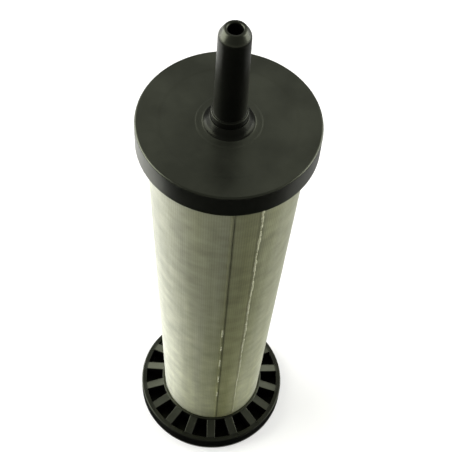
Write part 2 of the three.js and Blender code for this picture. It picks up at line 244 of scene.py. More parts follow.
def woven_wire(name, wire, shade_tint, gap, roughness, relief_mm, seam_shade_lines=()):
    """Plain-woven stainless wire that follows the UV map called 'wires', one unit per wire."""
    material, tree = new_tree(name)
    spot = add(tree, "ShaderNodeUVMap", {"uv_map": "wires"}).outputs["UV"]
    split = add(tree, "ShaderNodeSeparateXYZ", {}, {0: spot})

    def calculate(operation, *values):
        made = add(tree, "ShaderNodeMath", {"operation": operation})
        for i, value in enumerate(values):
            if isinstance(value, (int, float)):
                made.inputs[i].default_value = value
            else:
                tree.links.new(value, made.inputs[i])
        return made.outputs[0]

    def unevenness(scale, turn, low_value, high_value):
        laid = add(
            tree, "ShaderNodeMapping",
            {"Scale": (*scale, 1), "Rotation": (0, 0, math.radians(turn))}, {"Vector": spot})
        noise = add(
            tree, "ShaderNodeTexNoise", {"Scale": 1.0, "Detail": 3}, {"Vector": laid.outputs[0]})
        return add(
            tree, "ShaderNodeMapRange",
            {"From Min": 0.3, "From Max": 0.7, "To Min": low_value, "To Max": high_value},
            {"Value": noise.outputs["Fac"]}).outputs["Result"]

    warp_wave = calculate("SINE", calculate("MULTIPLY", split.outputs["X"], math.pi))
    weft_wave = calculate("SINE", calculate("MULTIPLY", split.outputs["Y"], math.pi))
    warp, weft = calculate("ABSOLUTE", warp_wave), calculate("ABSOLUTE", weft_wave)
    over = calculate("MULTIPLY_ADD", calculate("MULTIPLY", warp_wave, weft_wave), 0.5, 0.5)
    under = calculate("SUBTRACT", 1.0, over)
    relief = calculate("MAXIMUM", calculate("MULTIPLY", warp, over), calculate("MULTIPLY", weft, under))
    hole = calculate("MULTIPLY", calculate("SUBTRACT", 1.0, warp), calculate("SUBTRACT", 1.0, weft))

    # A cosine round the sleeve peaks at the front, round the seam; there the colour goes towards the olive
    # tint as painted shade.
    broad = calculate("MULTIPLY_ADD", split.outputs["X"], 2 * math.pi / WIRES_ROUND, SHADE_BAND_SHIFT)
    swell = calculate("MULTIPLY_ADD", calculate("COSINE", broad), 0.5, 0.5)
    band = calculate("POWER", swell, SHADE_BAND_POWER)
    columns = unevenness(scale=(0.06, 0.003), turn=0, low_value=0.6, high_value=1.0)
    tone = add(
        tree, "ShaderNodeMix", {"data_type": "RGBA", 6: colour(wire), 7: colour(shade_tint)},
        {0: calculate("MULTIPLY", band, columns)})
    shaded = add(
        tree, "ShaderNodeMix", {"data_type": "RGBA", 7: colour(gap)}, {0: hole, 6: tone.outputs[2]})
    lines = unevenness(scale=(0.3, 0.01), turn=0, low_value=0.93, high_value=1.07)
    patches = unevenness(scale=(0.1, 0.16), turn=35, low_value=0.86, high_value=1.14)
    # Painted light from the floor: lighter low down, a little darker high up under the cap.
    painted_floor_light = add(
        tree, "ShaderNodeMapRange",
        {"From Min": FLOOR_LIGHT_LOW, "From Max": FLOOR_LIGHT_HIGH, "To Min": 1.4, "To Max": 0.9},
        {"Value": split.outputs["Y"]}).outputs["Result"]
    # Painted shade: the side behind, at the cosine's low end, is made darker.
    behind = add(
        tree, "ShaderNodeMapRange",
        {"From Min": 0.15, "From Max": 0.5, "To Min": 0.68, "To Max": 1.0},
        {"Value": swell}).outputs["Result"]
    mottle_and_shade = calculate("MULTIPLY", calculate("MULTIPLY", lines, patches), painted_floor_light)
    mottle_and_shade = calculate("MULTIPLY", mottle_and_shade, behind)
    # Each line darkens a narrow stripe as painted shadow, or lightens it as painted highlight.
    for turn, half_width, shade in seam_shade_lines:
        wire_there = (turn - 90) / 360 * WIRES_ROUND
        away = calculate("ABSOLUTE", calculate("SUBTRACT", split.outputs["X"], wire_there))
        seam_line = add(
            tree, "ShaderNodeMapRange",
            {"interpolation_type": "SMOOTHSTEP", "From Max": half_width, "To Min": shade},
            {"Value": away}).outputs["Result"]
        mottle_and_shade = calculate("MULTIPLY", mottle_and_shade, seam_line)
    final = add(
        tree, "ShaderNodeVectorMath", {"operation": "SCALE"}, {0: shaded.outputs[2], "Scale": mottle_and_shade})
    bump = add(
        tree, "ShaderNodeBump", {"Strength": 0.6, "Distance": relief_mm * MM}, {"Height": relief})
    shader = add(
        tree, "ShaderNodeBsdfPrincipled", {"Metallic": 0.62, "Roughness": roughness},
        {"Base Color": final.outputs[0], "Normal": bump.outputs["Normal"]})
    add(tree, "ShaderNodeOutputMaterial", {}, {"Surface": shader.outputs["BSDF"]})
    return material


fine_mesh = woven_wire(
    "fine_woven_stainless", "#bcbdb3", "#9c9f72", "#86886f", roughness=0.52, relief_mm=0.04,
    seam_shade_lines=SEAM_SHADE_LINES)
seam_mesh = woven_wire(
    "folded_woven_stainless", "#adae98", "#97996c", "#7c7d64", roughness=0.5,
    relief_mm=0.04, seam_shade_lines=SEAM_SHADE_LINES)
backing_weave = woven_wire(
    "coarse_woven_stainless", "#a9a99f", "#9b9b8d", "#2c2c28", roughness=0.4, relief_mm=0.4)
print("made", fine_mesh.name, seam_mesh.name, "and", backing_weave.name)

# %% [markdown]
# ## Plain steel and rubber
# The band, the screw, the washers and the ballast are stainless steel, turned or rolled, so fine
# lines run round them. Stretching a noise along the way the tool moved makes such lines: here the
# pattern is squeezed in height and drawn out sideways. The seals are moulded rubber, nearly black
# and dull, with a little bloom on them.

# %% Plain steel and rubber


def turned_steel(name, pale, dark, roughness, metallic=1.0):
    """Stainless steel with fine level tool lines."""
    material, tree = new_tree(name)
    place = add(tree, "ShaderNodeTexCoord").outputs["Object"]
    drawn_out = add(tree, "ShaderNodeMapping", {"Scale": (60, 60, 5000)}, {"Vector": place})
    lines = add(
        tree, "ShaderNodeTexNoise", {"Scale": 1.0, "Detail": 4}, {"Vector": drawn_out.outputs[0]})
    tone = add(
        tree, "ShaderNodeMix",
        {"data_type": "RGBA", 6: colour(pale), 7: colour(dark)}, {0: lines.outputs["Fac"]})
    gloss = add(
        tree, "ShaderNodeMapRange",
        {"To Min": roughness - 0.06, "To Max": roughness + 0.1}, {"Value": lines.outputs["Fac"]})
    bump = add(
        tree, "ShaderNodeBump",
        {"Strength": 0.2, "Distance": 0.02 * MM}, {"Height": lines.outputs["Fac"]})
    shader = add(
        tree, "ShaderNodeBsdfPrincipled", {"Metallic": metallic},
        {"Base Color": tone.outputs[2], "Roughness": gloss.outputs["Result"],
         "Normal": bump.outputs["Normal"]})
    add(tree, "ShaderNodeOutputMaterial", {}, {"Surface": shader.outputs["BSDF"]})
    return material


steel = turned_steel("turned_stainless", "#c9c9c4", "#aeaea8", roughness=0.28)
weld_metal = turned_steel("pale_weld_metal", "#bcbd9f", "#8f9072", roughness=0.5, metallic=0.1)
rubber = moulded_plastic(
    "moulded_black_rubber", "#171716", "#211f1e", "#302f2d", "#ffffff",
    roughness=0.78, grain_mm=0.3)
print("made", steel.name, "and", rubber.name)

# %% [markdown]
# ## Turning a piece
# Nearly every piece is round, so it can be made as on a lathe: draw half of its section and spin
# that about the upright axis. Each corner of the section has its own rounding, which is a vertex
# bevel of the drawn line, and that is far lighter than bevelling the finished solid. Weighted
# normals then keep the large flats flat in the shading while the small roundings stay smooth.

# %% Turning helpers
SHARP_ANGLE = math.radians(40)


def section(corners):
    """Draws (radius, height, rounding) corners as a line with rounded corners, in a new bmesh."""
    bm = bmesh.new()
    points = [bm.verts.new((radius * MM, 0, height * MM)) for radius, height, _ in corners]
    for start, end in zip(points, points[1:] + points[:1]):
        bm.edges.new((start, end))
    for point, (_, _, rounding) in zip(points, corners):
        if rounding:
            bmesh.ops.bevel(
                bm, geom=[point], offset=rounding * MM, offset_type="OFFSET",
                affect="VERTICES", segments=4, profile=0.5, material=-1)
    return bm


def spin_full(bm, steps):
    """Spins everything in bm once round the upright axis and closes it."""
    bmesh.ops.spin(
        bm, geom=bm.verts[:] + bm.edges[:], cent=(0, 0, 0), axis=(0, 0, 1), dvec=(0, 0, 0),
        angle=2 * math.pi, steps=steps, use_merge=True, use_normal_flip=False, use_duplicate=False)
    bmesh.ops.remove_doubles(bm, verts=bm.verts[:], dist=0.0005 * MM)
    bmesh.ops.recalc_face_normals(bm, faces=bm.faces[:])


def piece_from(bm, name, body, node, material):
    """Turns bm into a finished piece that rides on a body and stands for one part."""
    mesh = bpy.data.meshes.new(name)
    bm.to_mesh(mesh)
    bm.free()
    mesh.shade_smooth()
    mesh.set_sharp_from_angle(angle=SHARP_ANGLE)
    mesh.materials.append(material)
    piece = bpy.data.objects.new(name, mesh)
    bpy.context.scene.collection.objects.link(piece)
    normals = piece.modifiers.new("flat faces stay flat", "WEIGHTED_NORMAL")
    normals.keep_sharp = True
    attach(piece, body)
    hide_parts(node)
    print(f"{name}: {len(mesh.polygons)} faces")
    return piece


def turned(corners, name, body, node, material, steps=128):
    """A round piece from its section."""
    bm = section(corners)
    spin_full(bm, steps)
    return piece_from(bm, name, body, node, material)


# %% [markdown]
# ## The foot
# The foot is one moulding: a flange that stands on the pond's floor, a short collar that the
# sleeve drops into, and eighteen webs with blind pockets between them, which keep the thick flange
# from sinking as it cools. We spin the plain flange, cut its top face along both sides of every
# web, and push the faces that are left between the webs down to the pocket floor. The webs slope
# from the collar down to the rim, as the ribs of a mould do, so the pushed faces are flattened on
# their way. A boolean could cut the pockets too, but this way keeps clean faces for the bevel.

# %% The foot's blank
WEB_COUNT = 18
WEB_WIDTH = 3.4
WEB_TURN = 3.0
RIM_TOP = 6.5
RIM_WIDTH = 1.95
WEB_ROOT = 8.3
COLLAR_RADIUS = 19.95
POCKET_RADIUS = foot_radius - RIM_WIDTH
POCKET_FLOOR = 1.5
SOCKET_RADIUS = 19.0
SOCKET_FLOOR = 4.6
SCREW_HOLE = 2.3
SCREW_RECESS_RADIUS = 5.6
SCREW_RECESS_DEPTH = 2.6

foot_section = [
    (SCREW_HOLE, SCREW_RECESS_DEPTH, 0), (SCREW_RECESS_RADIUS, SCREW_RECESS_DEPTH, 0),
    (SCREW_RECESS_RADIUS, 0, 0.3), (foot_radius, 0, 0.3),
    (foot_radius, RIM_TOP, 0.5), (POCKET_RADIUS, RIM_TOP, 0), (COLLAR_RADIUS, WEB_ROOT, 0),
    (COLLAR_RADIUS, collar_top, 0.2), (SOCKET_RADIUS, collar_top, 0.3),
    (SOCKET_RADIUS, SOCKET_FLOOR, 0), (SCREW_HOLE, SOCKET_FLOOR, 0),
]
foot_bm = section(foot_section)
spin_full(foot_bm, 180)
print("foot blank:", len(foot_bm.faces), "faces")

# %% [markdown]
# Each web is found by its direction from the middle. Two planes cut the sloping top along a web's
# sides; `bisect_plane` only adds edges where it cuts, so the top stays one skin. The faces between
# the webs are extruded in place, and their new corners are moved down to the pocket floor.

# %% The foot's webs and pockets


def web_directions():
    """The outward direction and the sideways direction of every web."""
    for i in range(WEB_COUNT):
        turn = math.radians(WEB_TURN + i * 360 / WEB_COUNT)
        yield Vector((math.sin(turn), -math.cos(turn), 0)), Vector((math.cos(turn), math.sin(turn), 0))


def on_slope(face):
    """True for the sloping faces between collar and rim."""
    middle = face.calc_center_median() / MM
    radius = math.hypot(middle.x, middle.y)
    return COLLAR_RADIUS < radius < POCKET_RADIUS and RIM_TOP < middle.z < WEB_ROOT


def in_web(face):
    """True if a sloping face belongs to a web."""
    middle = face.calc_center_median() / MM
    return any(
        middle.dot(out) > 0 and abs(middle.dot(side)) < WEB_WIDTH / 2 for out, side in web_directions())


for out, side in web_directions():
    for edge_of_web in (-WEB_WIDTH / 2, WEB_WIDTH / 2):
        near = [
            f for f in foot_bm.faces
            if on_slope(f) and f.calc_center_median().dot(out) > 0
            and abs(f.calc_center_median().dot(side) / MM) < 2 * WEB_WIDTH
        ]
        edges = {e for f in near for e in f.edges}
        verts = {v for f in near for v in f.verts}
        bmesh.ops.bisect_plane(
            foot_bm, geom=[*near, *edges, *verts], dist=0.0001 * MM,
            plane_co=side * edge_of_web * MM, plane_no=side)

pockets = [f for f in foot_bm.faces if on_slope(f) and not in_web(f)]
pocket_edges = {e for f in pockets for e in f.edges}
pushed = bmesh.ops.extrude_face_region(foot_bm, geom=[*pockets, *pocket_edges])
floor_verts = [v for v in pushed["geom"] if isinstance(v, bmesh.types.BMVert)]
for vert in floor_verts:
    vert.co.z = POCKET_FLOOR * MM
bmesh.ops.remove_doubles(foot_bm, verts=foot_bm.verts[:], dist=0.002 * MM)
bmesh.ops.recalc_face_normals(foot_bm, faces=foot_bm.faces[:])
print("pocket faces:", len(pockets))

# %% [markdown]
# A mould leaves no knife edges, so the mouths of the pockets are bevelled. The edges are picked by
# their place and by the angle between their faces. Then every face is given its painted shade: the
# pockets are painted near-black as shade in the recesses, and the rim and outer wall darker and duller.

# %% The foot's soft edges


def is_pocket_mouth(edge):
    """True for the sharp edges round the mouths of the pockets."""
    middle = (edge.verts[0].co + edge.verts[1].co) / 2 / MM
    radius = math.hypot(middle.x, middle.y)
    if not COLLAR_RADIUS + 0.1 < radius < POCKET_RADIUS + 0.1 or middle.z < RIM_TOP - 0.01:
        return False
    return len(edge.link_faces) == 2 and edge.calc_face_angle() > math.radians(50)


mouths = [e for e in foot_bm.edges if is_pocket_mouth(e)]
bmesh.ops.bevel(
    foot_bm, geom=mouths, offset=0.4 * MM, offset_type="OFFSET", affect="EDGES", segments=4,
    profile=0.5, material=-1, clamp_overlap=True)
foot = piece_from(foot_bm, "ribbed_foot", "cartridge", "foot", black_plastic)


def set_shade_and_dullness(piece, shade_and_dullness_at):
    """Writes each face's painted shade and dullness, from 0 to 1, given its middle's radius and height."""
    layer = piece.data.attributes.new("shade_and_dullness", "FLOAT", "FACE")
    for face, value in zip(piece.data.polygons, layer.data):
        x, y, z = face.center / MM
        value.value = shade_and_dullness_at(math.hypot(x, y), z)


def foot_shade_and_dullness(radius, height):
    """Pockets are painted near-black up to the tops of the webs as painted shade; the rim and outer wall
    are made darker and duller.
    """
    # Outside the pockets, the rim and the outer wall are made darker and duller.
    if radius > POCKET_RADIUS + 0.1:
        return 0.6
    outwards = (radius - COLLAR_RADIUS) / (POCKET_RADIUS - COLLAR_RADIUS)
    web_top = WEB_ROOT + (RIM_TOP - WEB_ROOT) * outwards
    # Pocket faces get full painted shade: near-black in the recesses.
    in_pocket = outwards > -0.02 and POCKET_FLOOR - 0.1 < height < web_top - 0.04
    return 1.0 if in_pocket else 0.0


set_shade_and_dullness(foot, foot_shade_and_dullness)

# %% [markdown]
# ## The cap
# The cap is a disc with a skirt that hides the sleeve's cut end, a plug that enters the cage's
# mouth, and a low boss for the hose tail. Its face is not quite flat: inside a plain border it is
# sunk by a fraction of a millimetre, and a fine step rings the boss. Those steps are what catch
# the light, so they are in the section and not in the material. The boss is painted nearly black
# and its gloss is cut, as painted shade that keeps highlights off it.

# %% The cap
BORDER_RADIUS = 20.2
RING_RADIUS = 9.6
SUNK = 0.07
TAIL_HOLE = 4.15
HUB_FOOT, HUB_SHOULDER, HUB_SEAT = 7.0, 5.75, 5.2
PLUG_BORE, PLUG_RADIUS = 18.4, 20.5
GROOVE_RADIUS, GROOVE_LOW, GROOVE_HIGH = 19.6, 162.4, 164.8
SEAT_DEPTH = 1.1
HUB_SHADE = 0.92

plate_low = cap_face - 2.5
plug_low = low("top_cap").z
skirt_low = 163.2
skirt_inside = cap_radius - 1.9
cap_section = [
    (TAIL_HOLE, plate_low, 0), (PLUG_BORE, plate_low, 0.5), (PLUG_BORE, plug_low, 0.3),
    (PLUG_RADIUS, plug_low, 0.6), (PLUG_RADIUS, GROOVE_LOW, 0.1), (GROOVE_RADIUS, GROOVE_LOW, 0.1),
    (GROOVE_RADIUS, GROOVE_HIGH, 0.1), (PLUG_RADIUS, GROOVE_HIGH, 0.1),
    (PLUG_RADIUS, plate_low, 0), (skirt_inside, plate_low, 0.5), (skirt_inside, skirt_low, 0.3),
    (cap_radius, skirt_low, 0.4), (cap_radius, cap_face, 0.6),
    (BORDER_RADIUS + 0.4, cap_face, 0.3), (BORDER_RADIUS - 0.4, cap_face - SUNK, 0.3),
    (RING_RADIUS + 0.3, cap_face - SUNK, 0.2), (RING_RADIUS - 0.1, cap_face, 0.2),
    (HUB_FOOT, cap_face, 1.1), (HUB_SHOULDER, hub_top, 0.25), (HUB_SEAT, hub_top, 0),
    (HUB_SEAT, hub_top - SEAT_DEPTH, 0), (TAIL_HOLE, hub_top - SEAT_DEPTH, 0),
]
cap = turned(cap_section, "push_on_cap", "cap", "top_cap", black_plastic, steps=192)
# The boss is painted dark and dull as painted shade, to keep highlights off it.
set_shade_and_dullness(
    cap, lambda radius, height:
    HUB_SHADE if radius < HUB_FOOT + 0.5 and height > cap_face + 0.02 else 0.0)

# %% [markdown]
# ## The hose tail
# The tail is a plain straight one for a soft air hose: a collar that seats on the boss, a stem
# that narrows by a hair towards the end, a wide chamfer so the hose starts easily, and a bore.
# Below the collar its shank is threaded for the back nut. A real thread is a helix; from any
# distance a row of V-shaped rings looks the same, so a loop adds them to the section. The stem is
# painted darker and duller as painted shade that keeps its sheen down, and its tip less so.

# %% The hose tail
THREAD_PITCH = 1.25
THREAD_DEPTH = 0.45
THREAD_COUNT = 5
SHANK_RADIUS = 4.0
BORE_RADIUS = 2.1
CHAMFER_FOOT = 207.2
COLLAR_REACH, STEM_ROOT, STEM_END, TIP_RADIUS = 5.5, 4.88, 4.55, 3.1
STEM_SHADE, TIP_SHADE = 0.75, 0.3

shank_low = low("hose_tail").z
collar_low = hub_top + 0.05
collar_high = collar_low + 2.35
tail_section = [(BORE_RADIUS, shank_low, 0.3), (SHANK_RADIUS - THREAD_DEPTH, shank_low, 0)]
for turn in range(THREAD_COUNT):
    crest = shank_low + (turn + 0.5) * THREAD_PITCH
    tail_section.append((SHANK_RADIUS, crest, 0.08))
    tail_section.append((SHANK_RADIUS - THREAD_DEPTH, crest + THREAD_PITCH / 2, 0.08))
tail_section += [
    (SHANK_RADIUS, crest + THREAD_PITCH, 0.1), (SHANK_RADIUS, collar_low, 0),
    (COLLAR_REACH, collar_low, 0.2), (COLLAR_REACH, collar_high, 0.4), (STEM_ROOT, collar_high, 0.15),
    (STEM_END, CHAMFER_FOOT, 0.7), (TIP_RADIUS, tail_tip, 0.35),
    (BORE_RADIUS, tail_tip, 0.5),
]
tail = turned(
    tail_section, "hose_tail_stem", "cap", "hose_tail", black_plastic, steps=96)
# Stem and tip are darkened and dulled as painted shade.
set_shade_and_dullness(tail, lambda radius, height: STEM_SHADE if height < CHAMFER_FOOT else TIP_SHADE)

# %% [markdown]
# ## The mesh sleeve
# The sleeve is a sheet of fine mesh rolled into a tube that narrows towards the foot. It is spun
# from a thin slanting section, with enough cuts up its length to take a soft relief: between the
# cage's ribs the mesh is drawn in by a tenth of a millimetre. Its UV map is laid round it in whole
# wires, so the weave closes on itself.

# %% The sleeve's shape
SLEEVE_TAPER = 0.0334
MESH_WALL = 0.4
CAGE_COLUMNS = 6
WINDOW_START = 16
WINDOW_PITCH = 28
WINDOW_ROWS = 5
DRAWN_IN = 0.11

sleeve_top_radius = high("mesh_sleeve").x


def sleeve_radius(height):
    """Outside radius of the sleeve at a height, in millimetres."""
    return sleeve_top_radius - (sleeve_high - height) * SLEEVE_TAPER


def tube(radius_at, wall, bottom, top, cuts, steps):
    """A thin tube that follows radius_at, cut into rings up its length."""
    bm = section([
        (radius_at(bottom) - wall, bottom, 0), (radius_at(bottom), bottom, 0),
        (radius_at(top), top, 0), (radius_at(top) - wall, top, 0),
    ])
    long_edges = [e for e in bm.edges if e.calc_length() > 10 * MM]
    bmesh.ops.subdivide_edges(bm, edges=long_edges, cuts=cuts)
    spin_full(bm, steps)
    return bm


def draw_in_between_ribs(bm):
    """Sinks the mesh a little over the cage's windows."""
    for vert in bm.verts:
        turn = math.atan2(vert.co.x, -vert.co.y)
        rise = (vert.co.z / MM - WINDOW_START) / WINDOW_PITCH
        if 0 < rise < WINDOW_ROWS:
            across = (0.5 + 0.5 * math.cos(CAGE_COLUMNS * turn)) ** 0.7
            along = math.sin(math.pi * (rise % 1)) ** 0.5
            shrink = 1 - DRAWN_IN * across * along / (math.hypot(vert.co.x, vert.co.y) / MM)
            vert.co.x *= shrink
            vert.co.y *= shrink


def lay_wires(bm, wires_round, wire_pitch):
    """Lays the UV map 'wires': one unit is one wire, round the piece and up it."""
    layer = bm.loops.layers.uv.new("wires")
    for face in bm.faces:
        middle = face.calc_center_median()
        heading = math.atan2(middle.y, middle.x)
        for loop in face.loops:
            spot = loop.vert.co
            swing = (math.atan2(spot.y, spot.x) - heading + math.pi) % (2 * math.pi) - math.pi
            round_it = (heading + swing) / (2 * math.pi) * wires_round
            loop[layer].uv = (round_it, spot.z / MM / wire_pitch)


WIRE_PITCH = 0.7
sleeve_bm = tube(sleeve_radius, MESH_WALL, sleeve_low, sleeve_high, cuts=110, steps=180)
draw_in_between_ribs(sleeve_bm)
lay_wires(sleeve_bm, WIRES_ROUND, WIRE_PITCH)
piece_from(sleeve_bm, "fine_mesh_sleeve", "cartridge", "mesh_sleeve", fine_mesh)

# %% [markdown]
# ## The seam
# The rolled sheet is closed by a strip that is welded over its joint. Down its left side the
# sheet's folded hem stands a little proud beside a narrow gap, and down its right side runs a
# chain of small weld spots. A few tack welds hold the hem's lower half. The strip and the hem are
# thin sheets: a slanting line, spun through a few degrees and given a thickness. The weld spots
# are one small dome, repeated by a loop.

# %% The seam strip and the hem
STRIP_FROM, STRIP_TO = 9.0, 30.0
HEM_FROM, HEM_TO = 6.2, 8.1
STRIP_RISE = 0.05
STRIP_WALL = 0.3
seam_low, seam_high = low("seam_strip").z, high("seam_strip").z


def add_curved_strip(bm, turn_from, turn_to, rise, wall, steps):
    """Adds a thin upright strip that lies on the sleeve between two turns, in degrees."""
    start = math.radians(turn_from - 90)
    line = [
        bm.verts.new((
            (sleeve_radius(z) + rise) * MM * math.cos(start),
            (sleeve_radius(z) + rise) * MM * math.sin(start), z * MM))
        for z in (seam_low, seam_high)
    ]
    edge = bm.edges.new(line)
    cut = bmesh.ops.subdivide_edges(bm, edges=[edge], cuts=60)
    upright = {e for v in cut["geom_inner"] if isinstance(v, bmesh.types.BMVert) for e in v.link_edges}
    verts = {v for e in upright for v in e.verts}
    before = set(bm.faces)
    bmesh.ops.spin(
        bm, geom=[*upright, *verts], cent=(0, 0, 0), axis=(0, 0, 1), dvec=(0, 0, 0),
        angle=math.radians(turn_to - turn_from), steps=steps, use_merge=False,
        use_normal_flip=False, use_duplicate=False)
    sheet = [f for f in bm.faces if f not in before]
    bmesh.ops.recalc_face_normals(bm, faces=sheet)
    outward = sum(f.normal.dot(f.calc_center_median().xy.to_3d()) for f in sheet)
    if outward < 0:
        bmesh.ops.reverse_faces(bm, faces=sheet)
    bmesh.ops.solidify(bm, geom=sheet, thickness=-wall * MM)


seam_bm = bmesh.new()
add_curved_strip(seam_bm, STRIP_FROM, STRIP_TO, STRIP_RISE, STRIP_WALL, steps=14)
add_curved_strip(seam_bm, HEM_FROM, HEM_TO, 0.02, STRIP_WALL, steps=3)
bmesh.ops.recalc_face_normals(seam_bm, faces=seam_bm.faces[:])
print("seam sheets:", len(seam_bm.faces), "faces, volume", seam_bm.calc_volume(signed=True))

# %% [markdown]
# A spot welder leaves one small spot after another. Each is an icosphere of few faces, flattened
# and half sunk in the strip. Sums of sines make the spots wander and differ, as hand-fed welds do,
# and give the same row in every run, which random numbers would not. They fade towards the foot.

# %% The weld spots
SPOT_PITCH = 1.6
SPOT_LENGTH = 2.1
SPOT_WIDTH = 0.85
SPOT_RISE = 0.3
TACK_HEIGHTS = [31, 33, 44, 46, 47.6, 58, 60, 61.8, 71, 72.8, 82, 84, 85.6]


def add_weld_spot(bm, turn, height, size):
    """Adds one flattened dome on the strip."""
    radius = sleeve_radius(height) + STRIP_RISE + STRIP_WALL - 0.02
    stretch = Matrix.Diagonal((SPOT_WIDTH / 2 * size, SPOT_RISE * size, SPOT_LENGTH / 2 * size, 1))
    place = (
        Matrix.Rotation(math.radians(turn), 4, "Z")
        @ Matrix.Translation(Vector((0, -radius, height)) * MM)
        @ Matrix.Scale(MM, 4) @ stretch
    )
    bmesh.ops.create_icosphere(bm, subdivisions=1, radius=1, matrix=place)


spot_count = int((seam_high - seam_low - 4) / SPOT_PITCH)
bead_bm = bmesh.new()
for i in range(spot_count):
    height = seam_low + 2 + i * SPOT_PITCH
    size = 1 + 0.3 * math.sin(2.4 * i) + 0.22 * math.sin(0.7 * i + 1)
    size *= 0.6 + 0.4 * min(1, height / 90)
    wander = 0.3 * math.sin(0.31 * i) + 0.2 * math.sin(1.3 * i)
    add_weld_spot(bead_bm, STRIP_TO - 1.3 + wander, height, size)
for i, height in enumerate(TACK_HEIGHTS):
    add_weld_spot(bead_bm, HEM_TO - 0.9, height, 0.9 + 0.1 * math.sin(1.9 * i))
piece_from(bead_bm, "weld_bead", "cartridge", "seam_strip", weld_metal)
print("weld spots:", spot_count)
lay_wires(seam_bm, WIRES_ROUND, WIRE_PITCH)
piece_from(seam_bm, "seam_cover", "cartridge", "seam_strip", seam_mesh)

# %% [markdown]
# ## Inside the sleeve
# Under the fine mesh lies a coarser one that lets the air spread, and under that the cage, a
# moulded cup with windows. They show only when the cap is off, at the rim and down the mouth. The
# cage is spun like the other pieces, and its windows are made by removing faces of its wall and
# joining the outer edge of each hole to the inner one with `bridge_loops`.

# %% Backing mesh
backing_bm = tube(
    lambda z: sleeve_radius(z) - MESH_WALL - 0.15, 0.5, low("backing_mesh").z, high("backing_mesh").z,
    cuts=40, steps=120)
lay_wires(backing_bm, 72, 1.9)
piece_from(
    backing_bm, "coarse_backing_mesh", "cartridge", "backing_mesh", backing_weave)

# %% [markdown]
# The cage holds the meshes round from inside and keeps the air chamber open. Its section has a
# corner at every upper and lower edge of the windows, so that the spin leaves edges to cut along.

# %% The cage
CAGE_WALL = 2.0
CAGE_STEPS = 144
WINDOW_HEIGHT = 22
WINDOW_SHARE = 0.68
MOUTH_RADIUS = 21.0
MOUTH_LOW = 157.5

cage_low, cage_high = low("core_cage").z, high("core_cage").z
cage_floor = cage_low + 3.0


def cage_radius(height):
    """Outside radius of the cage at a height, in millimetres."""
    return sleeve_radius(height) - 1.2


window_edges = []
for row in range(WINDOW_ROWS):
    window_edges += [WINDOW_START + row * WINDOW_PITCH, WINDOW_START + row * WINDOW_PITCH + WINDOW_HEIGHT]
outer_wall = [(cage_radius(z), z, 0) for z in window_edges]
inner_wall = [(cage_radius(z) - CAGE_WALL, z, 0) for z in reversed(window_edges)]
cage_section = [
    (SCREW_HOLE, cage_low, 0), (cage_radius(cage_low), cage_low, 0.6), *outer_wall,
    (cage_radius(cage_high), cage_high, 0.5), (MOUTH_RADIUS, cage_high, 0.5),
    (MOUTH_RADIUS, MOUTH_LOW, 0.2), (cage_radius(MOUTH_LOW) - CAGE_WALL, MOUTH_LOW, 0),
    *inner_wall, (cage_radius(cage_floor) - CAGE_WALL, cage_floor, 0.8), (SCREW_HOLE, cage_floor, 0),
]
cage_bm = section(cage_section)
spin_full(cage_bm, CAGE_STEPS)


def window_of(face):
    """The (row, column) of the window that a face of the cage's wall lies in, or None."""
    middle = face.calc_center_median() / MM
    rise = (middle.z - WINDOW_START) / WINDOW_PITCH
    if abs(face.normal.z) > 0.3 or not 0 <= rise < WINDOW_ROWS:
        return None
    if (rise % 1) * WINDOW_PITCH > WINDOW_HEIGHT:
        return None
    turn = math.degrees(math.atan2(middle.x, -middle.y)) * CAGE_COLUMNS / 360
    if abs(turn - round(turn)) > WINDOW_SHARE / 2:
        return None
    return int(rise), round(turn) % CAGE_COLUMNS


windows = {}
for face in cage_bm.faces:
    key = window_of(face)
    if key:
        windows.setdefault(key, []).append(face)
rims = {}
for key, faces in windows.items():
    inside = set(faces)
    rims[key] = [e for f in faces for e in f.edges if sum(g in inside for g in e.link_faces) == 1]
bmesh.ops.delete(cage_bm, geom=[f for faces in windows.values() for f in faces], context="FACES_ONLY")
for key, edges in rims.items():
    bmesh.ops.bridge_loops(cage_bm, edges=list(set(edges)))
loose = [e for e in cage_bm.edges if not e.link_faces]
bmesh.ops.delete(cage_bm, geom=loose, context="EDGES")
loose_points = [v for v in cage_bm.verts if not v.link_faces]
bmesh.ops.delete(cage_bm, geom=loose_points, context="VERTS")
bmesh.ops.recalc_face_normals(cage_bm, faces=cage_bm.faces[:])
print("cage windows:", len(windows), "open edges:", sum(not e.is_manifold for e in cage_bm.edges))
piece_from(cage_bm, "windowed_cage", "cartridge", "core_cage", grey_plastic)

# %% [markdown]
# ## Band, seals and fasteners
# The rest is small turned work: the band that grips the mesh on the cage's mouth, the rubber
# seals, the back nut that holds the tail, and the ballast with its screw. Each one is a short
# section.

# %% Band and seals


def plain_ring(node, name, body, material, rounding, inner):
    """A ring with rounded edges that fills a part's box, with the given inner radius."""
    outer, bottom, top = high(node).x, low(node).z, high(node).z
    corners = [(x, z, rounding) for x, z in ((inner, bottom), (outer, bottom), (outer, top), (inner, top))]
    return turned(corners, name, body, node, material)


def seal_ring(node, name, body, inner):
    """A rubber ring of round section, squeezed a little in its seat."""
    outer, bottom, top = high(node).x, low(node).z, high(node).z
    middle = Vector(((inner + outer) / 2 * MM, 0, (bottom + top) / 2 * MM))
    bm = bmesh.new()
    bmesh.ops.create_circle(
        bm, segments=20, radius=1,
        matrix=Matrix.Translation(middle)
        @ Matrix.Diagonal(((outer - inner) / 2 * MM, 1, (top - bottom) / 2 * MM, 1))
        @ Matrix.Rotation(math.pi / 2, 4, "X"))
    spin_full(bm, 128)
    return piece_from(bm, name, body, node, rubber)


